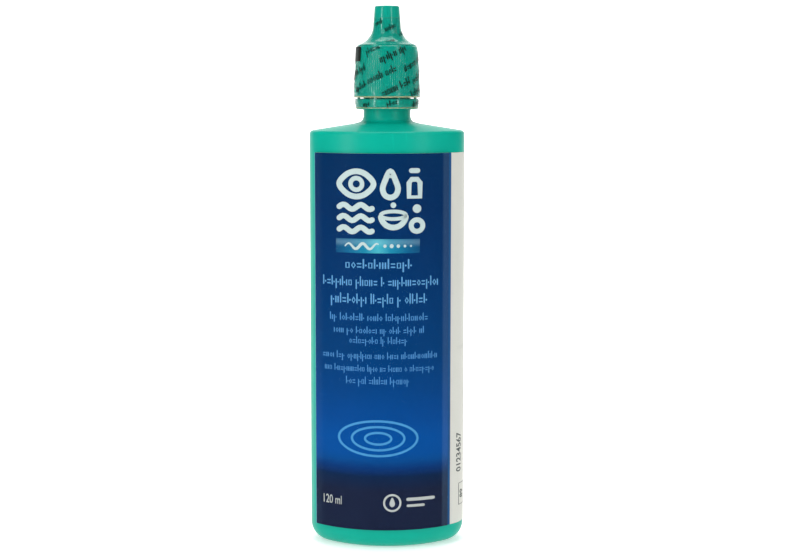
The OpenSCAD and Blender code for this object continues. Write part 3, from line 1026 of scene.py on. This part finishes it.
class BOTTLE_OT_film_marks(bpy.types.Operator):
    """Print the black word-like marks and the black patch on the film"""
    bl_idname = "bottle.film_marks"
    bl_label = "Film marks"

    def execute(self, context):
        c = context.scene.bottle_finishes
        ink = print_ink("black film ink", c.print_black, rough=0.3, spread=0.25)
        marks = glyph_meshes()
        words = list(CAP_WORDS)
        for row in range(4):
            for k in range(4):
                words.append((118 + 44 * k + 21 * (row % 2), 141.0 + 3.6 * row, 1.6, (6, 4), 10.0))
        band = [(9, 136.4, 1.3, (4,), 3.6), (-40, 136.0, 1.2, (3,), 2.4), (66, 136.3, 1.3, (6,), 5.2),
                (128, 136.1, 1.3, (6,), 5.4), (185, 136.2, 1.3, (6,), 5.4), (-110, 136.2, 1.3, (6,), 5.4)]
        for name, rows, film, body in (("cap_film_marks", words, "cap_film", "cap"),
                                       ("band_film_marks", band, "band_film", "tamper_ring")):
            guide = bpy.data.objects[film]
            copies = []
            for i, (turn, height, size, counts, width) in enumerate(rows):
                reach = 4.6 if height > 157 else 7.5 if height > 154.5 else 10.4
                slant = 22 if body == "cap" else 12
                place = (Matrix.Rotation(math.radians(turn), 4, "Z")
                         @ Matrix.Translation((0, -reach * MM, height * MM))
                         @ Matrix.Rotation(-math.radians(slant), 4, "Y"))
                copies += set_line(marks, counts, i + 3, place, size, width)
            piece = joined(name, copies)
            if body == "cap":
                edge = [(9.9 * MM, z * MM) for z in (149.1, 150.3, 151.5, 152.7, 153.8)]
                start = math.radians(-90 - 92)
                patch = drawn_line("patch", [(r * math.cos(start), r * math.sin(start), z) for r, z in edge])
                bpy.ops.object.mode_set(mode="EDIT")
                bpy.ops.mesh.select_all(action="SELECT")
                bpy.ops.mesh.spin(steps=12, angle=-math.radians(36), center=(0, 0, 0), axis=(0, 0, 1))
                bpy.ops.mesh.select_all(action="SELECT")
                bpy.ops.mesh.normals_make_consistent(inside=False)
                bpy.ops.object.mode_set(mode="OBJECT")
                piece = joined(name, [piece, patch])
            apply_modifier(piece, "SHRINKWRAP", target=guide, wrap_method="NEAREST_SURFACEPOINT",
                           wrap_mode="ABOVE_SURFACE", offset=0.012 * MM)
            apply_modifier(piece, "SOLIDIFY", thickness=0.012 * MM, offset=0)
            finish_piece(piece, body, "sleeve_film", ink)
        drop_marks(marks)
        return {"FINISHED"}


def ply(name, oval, label, first, last, low, thickness):
    """A smooth sheet of the label between two normals, at a distance off the body."""
    heights = [label.low + (label.high - label.low) * i / 4 for i in range(5)]
    sheet = oval.sweep(name, [(low, z) for z in heights], first, last)
    face = sheet.data.polygons[0]
    if face.normal.dot(Vector((face.center.x, face.center.y, 0))) < 0:
        make_active(sheet)
        bpy.ops.object.mode_set(mode="EDIT")
        bpy.ops.mesh.select_all(action="SELECT")
        bpy.ops.mesh.flip_normals()
        bpy.ops.object.mode_set(mode="OBJECT")
    if thickness:
        apply_modifier(sheet, "SOLIDIFY", thickness=thickness, offset=1, use_even_offset=True)
        soften(sheet, 40)
    return sheet


class BOTTLE_OT_label(bpy.types.Operator):
    """Model the label: base ply, leaflet spine, two pages, printed cover and clear laminate"""
    bl_idname = "bottle.label"
    bl_label = "Label plies"

    def execute(self, context):
        oval = Oval(context.scene.bottle_sizes)
        s = context.scene.label_sizes
        free = oval.normal_at(s.free_edge - oval.half_width)
        spine = oval.normal_at(oval.half_width - s.spine - 0.46 * MM)
        spine_end = oval.normal_at(oval.half_width - s.spine + 0.4 * MM)
        leaf = oval.normal_at(oval.half_width - s.spine - 0.5 * MM)
        base = ply("label_base", oval, s, free, -free, 0.03 * MM, 0.095 * MM)
        finish_piece(base, "bottle", "label_white", panel_ink("white label stock"), "base_label")
        strip = ply("leaflet_spine_strip", oval, s, spine, spine_end, 0.152 * MM, 0.145 * MM)
        finish_piece(strip, "bottle", "label_blue",
                     print_ink("spine blue", linear("#1F5488")), "leaflet_spine")
        paper = page_ink("leaflet paper", s.low, s.high)
        rear = ply("leaflet_rear_page", oval, s, free, leaf, 0.2 * MM, 0.1 * MM)
        finish_piece(rear, "rear_page", "leaflet_paper", paper, "leaflet_page_rear")
        front = ply("leaflet_front_page", oval, s, free, leaf, 0.35 * MM, 0.1 * MM)
        finish_piece(front, "front_page", "leaflet_paper", paper, "leaflet_page_front")
        cover = ply("label_cover", oval, s, free, leaf, 0.5 * MM, 0.12 * MM)
        finish_piece(cover, "leaflet_cover", "label_blue", cover_ink("printed blue cover"), "front_cover")
        clear = ply("label_laminate", oval, s, free, leaf, 0.672 * MM, 0.018 * MM)
        edge_x = oval.point(free, 0.68 * MM, 0)[0]
        laminate = clear_finish("clear laminate", linear("#06203C"), 0.06, 0.16, edge_x)
        finish_piece(clear, "leaflet_cover", "laminate_film", laminate, "cover_laminate")
        return {"FINISHED"}


def guide_sheet(oval, label, first, last, distance):
    """A thin sheet that print is laid on, deleted afterwards."""
    return ply("guide", oval, label, first, last, distance, 0)


def delete(*pieces):
    start_fresh()
    for piece in pieces:
        piece.select_set(True)
    bpy.ops.object.delete()


def upper_pictograms():
    """Round-ended pictograms in two rows: eye, drop and bottle; waves, lens and ring."""
    w = 1.7
    shapes = []
    eye = smooth_loop([(-14.4, 112.5), (-12.2, 115.3), (-9.2, 116.3), (-6.2, 115.3), (-4.0, 112.5),
                       (-6.2, 109.7), (-9.2, 108.7), (-12.2, 109.7)], 5)
    shapes.append(stroke(eye, w, closed=True))
    shapes.append(stroke(ring(-9.2, 112.5, 1.75), 1.35, closed=True))
    drop = smooth_loop([(1.0, 116.4), (2.7, 113.2), (3.3, 111.0), (2.6, 109.2), (1.0, 108.5), (-0.6, 109.2),
                        (-1.3, 111.0), (-0.7, 113.2)], 5)
    shapes.append(stroke(drop, w, closed=True))
    shapes.append(stroke([(6.6, 112.9), (6.6, 108.6), (9.9, 108.6), (9.9, 112.9), (9.1, 113.9), (7.4, 113.9)],
                         1.55, closed=True))
    shapes.append(stroke([(7.3, 116.5), (9.2, 116.5)], 1.5))
    for z in (105.6, 102.2, 98.8):
        wave = [(-14.4 + i * 0.55, z + 0.7 * math.sin(i * 0.66)) for i in range(19)]
        shapes.append(stroke(wave, 1.65))
    shapes.append(stroke(ring(1.9, 103.3, 3.8, 190, 350, 18), w))
    shapes.append(stroke(ring(1.9, 103.2, 3.8, 0, 360, 30, squash=0.3), 1.1, closed=True))
    shapes.append([ring(1.9, 106.2, 0.85)])
    shapes.append(stroke(ring(9.0, 100.0, 1.75), 1.5, closed=True))
    shapes.append([ring(9.0, 105.1, 1.3)])
    return [flat_shape("pictogram", outlines) for outlines in shapes]


# Lines of print on the cover: height, middle, width and x-height in mm, and the words' lengths
COVER_LINES = [
    (88.0, -2.6, 20.2, 2.05, (13,)), (82.7, -2.0, 35.0, 2.0, (8, 6, 1, 13)), (77.4, -2.5, 29.2,
    2.1, (9, 6, 1, 6)),
    (71.9, -2.5, 29.8, 1.55, (3, 8, 5, 13)), (68.0, -2.5, 27.4, 1.5, (4, 2, 7, 2, 4, 4, 2)),
    (64.9, -2.7, 17.6, 1.5, (9, 2, 7)), (60.2, -2.2, 34.9, 1.5, (4, 3, 9, 3, 4, 12)),
    (56.3, -2.4, 33.3, 1.45, (3, 11, 5, 2, 5, 1, 8)), (52.5, -2.9, 19.2, 1.6, (3, 3, 7, 6)),
]


class BOTTLE_OT_cover_print(bpy.types.Operator):
    """Print the cover: pictograms, badge, lines of word-like marks, volume and maker's sign"""
    bl_idname = "bottle.cover_print"
    bl_label = "Cover print"

    def execute(self, context):
        oval = Oval(context.scene.bottle_sizes)
        c = context.scene.bottle_finishes
        guide = guide_sheet(oval, context.scene.label_sizes, -150, -35, 0.617 * MM)
        thick = 0.042 * MM
        white = print_ink("white print", c.print_white)

        def printed(name, pieces, material, spacing=1.0, depth=thick):
            piece = joined(name, pieces)
            if spacing:
                cut_upright(piece, spacing * MM)
            lay_on(piece, guide, depth, "front")
            return finish_piece(piece, "leaflet_cover", "label_blue", material)

        printed("cover_pictograms", upper_pictograms(), white)
        badge = flat_shape("badge", [[(-15.4, 91.7), (9.9, 91.7), (9.9, 96.0), (-15.4, 96.0)]])
        printed("cover_badge", [badge], badge_finish("badge teal"), 0.8, 0.024 * MM)
        wave = [(-12.6 + i * 0.5, 93.8 + 0.85 * math.sin(i * 0.74)) for i in range(21)]
        tail = [0.35 + 0.55 * math.sin(math.pi * i / 20) for i in range(21)]
        dots = [flat_shape("dot", [ring(x, 93.9, 0.62 - abs(x - 1.6) * 0.055)])
                for x in (-0.6, 1.4, 3.4, 5.4, 7.2)]
        printed("badge_wave", [flat_shape("wave", stroke(wave, tail))] + dots, white)
        marks = glyph_meshes()
        for name, rows, tint in (("upper", COVER_LINES[:3], c.print_blue),
                                 ("lower", COVER_LINES[3:], c.print_deep)):
            copies = []
            for i, (z, x, width, size, words) in enumerate(rows):
                place = Matrix.Translation((x * MM, 0, z * MM))
                copies += set_line(marks, words, i + 5 + len(rows), place, size, width)
            printed("cover_lines_" + name, copies, print_ink(name + " line blue", tint), 0)
        drop_marks(marks)
        start_fresh()
        bpy.ops.object.text_add()
        volume = bpy.context.object
        volume.data.body = "120 ml"
        volume.data.size = 3.6 * MM
        volume.data.align_x = "CENTER"
        volume.data.offset = 0.00003
        make_active(volume)
        bpy.ops.object.convert(target="MESH")
        volume = bpy.context.object
        volume.rotation_euler = (math.pi / 2, 0, 0)
        volume.scale = (0.62, 1.05, 1)
        volume.location = (-16.9 * MM, 0, 13.8 * MM)
        settle(volume)
        small = smooth_loop([(1.6, 16.7), (2.35, 15.2), (2.3, 14.2),
                             (1.6, 13.7), (0.9, 14.2), (0.85, 15.2)], 4)
        sign = [flat_shape("sign", stroke(ring(1.6, 15.0, 2.5, steps=28), 0.6, closed=True)),
                flat_shape("sign", [small]),
                flat_shape("sign", stroke([(6.4, 16.0), (14.2, 16.0)], 1.0)),
                flat_shape("sign", stroke([(6.4, 14.0), (11.2, 14.0)], 0.8))]
        printed("cover_foot_print", [volume] + sign, print_ink("pale foot print", linear("#C9CFCB")))
        self.draw_ripples(printed)
        delete(guide)
        return {"FINISHED"}

    def draw_ripples(self, printed):
        """Three plain rings, evenly spaced, as a generic sign for water."""
        rings = [flat_shape("ripple", stroke(ring(-2.7, 35.0, radius, steps=48, squash=0.45), 0.7,
                                             closed=True))
                 for radius in (4.0, 8.0, 12.0)]
        printed("cover_ripples", rings, print_ink("ripple blue", linear("#4C9FD9"), 0.3))


class BOTTLE_OT_panel_print(bpy.types.Operator):
    """Print the white panel: numerals up the right side and rows of small marks on the back"""
    bl_idname = "bottle.panel_print"
    bl_label = "Panel print"

    def execute(self, context):
        oval = Oval(context.scene.bottle_sizes)
        c = context.scene.bottle_finishes
        guide = guide_sheet(oval, context.scene.label_sizes, -48, 141, 0.122 * MM)
        grey = print_ink("grey print", c.print_grey, 0.5)
        start_fresh()
        pieces = []
        for words, size, y, z in (("01234567", 3.1, -4.6, 28.6), ("89", 2.8, -3.0, 15.2)):
            bpy.ops.object.text_add()
            text = bpy.context.object
            text.data.body = words
            text.data.size = size * MM
            text.data.align_x = "CENTER"
            text.data.offset = 0.00006
            make_active(text)
            bpy.ops.object.convert(target="MESH")
            text = bpy.context.object
            text.matrix_world = (Matrix.Translation((0, y * MM, z * MM))
                                 @ Matrix.Rotation(math.pi / 2, 4, "Z")
                                 @ Matrix.Rotation(math.pi / 2, 4, "X")
                                 @ Matrix.Rotation(math.pi / 2, 4, "Z"))
            pieces.append(settle(text))
            start_fresh()
        box_turn = Matrix.Translation((0, -3.6 * MM, 15.3 * MM)) @ Matrix.Rotation(math.pi / 2, 4, "Z")
        frame_shape = flat_shape("box", stroke([(-2.0, -3.4), (2.0, -3.4), (2.0, 3.4), (-2.0, 3.4)], 0.3,
                                               closed=True))
        frame_shape.matrix_world = box_turn
        pieces.append(settle(frame_shape))
        side = joined("side_numerals", pieces)
        cut_upright(side, 0.6 * MM, "y")
        lay_on(side, guide, 0.024 * MM, "right")
        finish_piece(side, "bottle", "label_white", grey)
        marks = glyph_meshes()
        copies = []
        rolls = dice(77)
        turn = Matrix.Rotation(math.pi, 4, "Z")
        for row in range(19):
            z = 112 - row * 4.1
            if row in (5, 11):
                continue
            words, total = [], 0
            while total < 27:
                words.append(2 + next(rolls) % 7)
                total += words[-1] + 1
            width = 33 if row % 6 != 4 else 20
            x = 0 if width == 33 else 6.5
            place = Matrix.Translation((x * MM, 0, z * MM)) @ turn
            copies += set_line(marks, words, row + 40, place, 1.35, width)
        back = joined("back_lines", copies)
        lay_on(back, guide, 0.024 * MM, "back")
        finish_piece(back, "bottle", "label_white", grey)
        drop_marks(marks)
        shapes = [flat_shape("rule", stroke([(-16.5, z), (16.5, z)], 0.35)) for z in (34.0, 11.5)]
        shapes += [flat_shape("sign", stroke(ring(x, 22.6, 3.6, steps=30), 0.6, closed=True))
                   for x in (-11.5, 0.0, 11.5)]
        shapes += [flat_shape("sign", [ring(0.0, 22.6, 1.3)]),
                   flat_shape("sign", stroke([(-13.2, 22.6), (-9.8, 22.6)], 0.7)),
                   flat_shape("sign", stroke([(11.5, 20.9), (11.5, 24.3)], 0.7))]
        signs = joined("back_signs", shapes)
        signs.rotation_euler = (0, 0, math.pi)
        settle(signs)
        cut_upright(signs, 1.5 * MM)
        lay_on(signs, guide, 0.024 * MM, "back")
        finish_piece(signs, "bottle", "label_white", print_ink("blue panel print", linear("#1B5FA6")))
        delete(guide)
        return {"FINISHED"}


class BOTTLE_OT_contents(bpy.types.Operator):
    """Finish the nozzle plug and the saline, which keep their CAD shapes"""
    bl_idname = "bottle.contents"
    bl_label = "Nozzle and saline"

    def execute(self, context):
        nozzle = plastic("white nozzle plastic", linear("#E6ECEC"), rough=0.4)
        saline = clear_finish("saline", linear("#D8F0F8"), 0.35, 0.05)
        for node, material in (("nozzle_plug", nozzle), ("saline_fill", saline)):
            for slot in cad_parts[node].material_slots:
                slot.material = material
        return {"FINISHED"}


def soft_light(name, place, aim, size, power, tint=(1, 1, 1)):
    """A square soft light that faces a point."""
    start_fresh()
    bpy.ops.object.light_add(type="AREA", location=place)
    light = bpy.context.object
    light.name = name
    light.data.shape = "RECTANGLE"
    light.data.size, light.data.size_y = size
    light.data.energy = power
    light.data.color = tint
    light.rotation_euler = (Vector(aim) - Vector(place)).to_track_quat("-Z", "Y").to_euler()


class BOTTLE_OT_stage(bpy.types.Operator):
    """Set the pale floor with its painted glow, the soft studio lights and the camera"""
    bl_idname = "bottle.stage"
    bl_label = "Stage, lights and camera"

    def execute(self, context):
        start_fresh()
        bpy.ops.mesh.primitive_plane_add(size=3, location=(0, 0, 0))
        floor = bpy.context.object
        floor.name = "floor"
        select_where(floor, "EDGE", lambda c: c.y > 1.4)
        bpy.ops.mesh.extrude_edges_move(TRANSFORM_OT_translate={"value": (0, 0, 1.6)})
        bpy.ops.object.mode_set(mode="OBJECT")
        select_where(floor, "EDGE", lambda c: c.y > 1.4 and c.z < 0.1)
        bpy.ops.mesh.bevel(offset=0.7, segments=16)
        bpy.ops.object.mode_set(mode="OBJECT")
        soften(floor, 60)
        # Painted light: the floor and its backdrop glow, dimly near the bottle and in full white towards the
        # back, and so light the bottle from below and behind.
        material, shader, place = new_finish("pale studio floor", {
            "Specular IOR Level": 0.2, "Emission Strength": 1.0})
        speck = place.noise(40.0, 3.0)
        floor_glow = place.part("Y").between(0.1, 0.7)
        feed(shader, Base_Color=speck.mixed(linear("#F3F3F1"), linear("#FAFAF8")),
             Roughness=0.7 + speck * 0.2,
             Emission_Color=floor_glow.mixed((0.42, 0.42, 0.42), (1.0, 1.0, 1.0)))
        floor.data.materials.append(material)
        world = bpy.data.worlds.new("soft white room")
        context.scene.world = world
        world.use_nodes = True
        world.node_tree.nodes["Background"].inputs["Color"].default_value = (1, 1, 1, 1)
        world.node_tree.nodes["Background"].inputs["Strength"].default_value = 0.17
        middle = (0, 0, 0.09)
        soft_light("left key", (-0.42, -0.5, 0.72), middle, (0.35, 0.35), 1.45)
        soft_light("right fill", (0.5, -0.45, 0.68), middle, (0.35, 0.35), 0.95)
        soft_light("top light", (0.0, 0.1, 0.8), middle, (0.5, 0.5), 4.0)
        soft_light("left strip", (-0.44, -0.41, 0.22), (0, 0, 0.14), (0.05, 0.4), 1.1)
        soft_light("right strip", (0.39, -0.45, 0.22), (0, 0, 0.14), (0.035, 0.4), 0.6)
        context.scene.view_settings.view_transform = "Standard"
        bpy.ops.object.camera_add(location=(0, -0.5075, 0.1418), rotation=(math.radians(90 - 6.694), 0, 0))
        camera = bpy.context.object
        camera.name = "camera"
        camera.data.sensor_width = 36
        camera.data.lens = 74.02
        camera.data.shift_x = 0.01625
        camera.data.clip_start = 0.01
        context.scene.camera = camera
        return {"FINISHED"}


class BOTTLE_PT_panel(bpy.types.Panel):
    """Lists the sizes, the finishes and the pieces"""
    bl_label = "Contact lens bottle"
    bl_idname = "BOTTLE_PT_panel"
    bl_space_type = "VIEW_3D"
    bl_region_type = "UI"
    bl_category = "Bottle"

    def draw(self, context):
        for group in ("bottle_sizes", "cap_sizes", "label_sizes", "bottle_finishes"):
            box = self.layout.box()
            box.label(text=group.replace("_", " ").capitalize())
            values = getattr(context.scene, group)
            for name in values.__annotations__:
                box.prop(values, name)
        for operator in OPERATORS:
            self.layout.operator(operator.bl_idname)


OPERATORS = (BOTTLE_OT_stage, BOTTLE_OT_shell, BOTTLE_OT_cap, BOTTLE_OT_band, BOTTLE_OT_film,
    BOTTLE_OT_film_marks,
             BOTTLE_OT_label, BOTTLE_OT_cover_print, BOTTLE_OT_panel_print, BOTTLE_OT_contents)
GROUPS = {"bottle_sizes": BottleSizes, "cap_sizes": CapSizes, "label_sizes": LabelSizes,
          "bottle_finishes": Finishes}


def register():
    for group in GROUPS.values():
        bpy.utils.register_class(group)
    for name, group in GROUPS.items():
        setattr(bpy.types.Scene, name, PointerProperty(type=group))
    for operator in OPERATORS:
        bpy.utils.register_class(operator)
    bpy.utils.register_class(BOTTLE_PT_panel)


def unregister():
    bpy.utils.unregister_class(BOTTLE_PT_panel)
    for operator in reversed(OPERATORS):
        bpy.utils.unregister_class(operator)
    for name in GROUPS:
        delattr(bpy.types.Scene, name)
    for group in GROUPS.values():
        bpy.utils.unregister_class(group)


def main():
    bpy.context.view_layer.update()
    register()
    for step in (bpy.ops.bottle.stage, bpy.ops.bottle.shell, bpy.ops.bottle.cap, bpy.ops.bottle.band,
                 bpy.ops.bottle.film, bpy.ops.bottle.film_marks, bpy.ops.bottle.label,
                     bpy.ops.bottle.cover_print,
                 bpy.ops.bottle.panel_print, bpy.ops.bottle.contents):
        step()
    start_fresh()


if __name__ == "__main__":
    main()
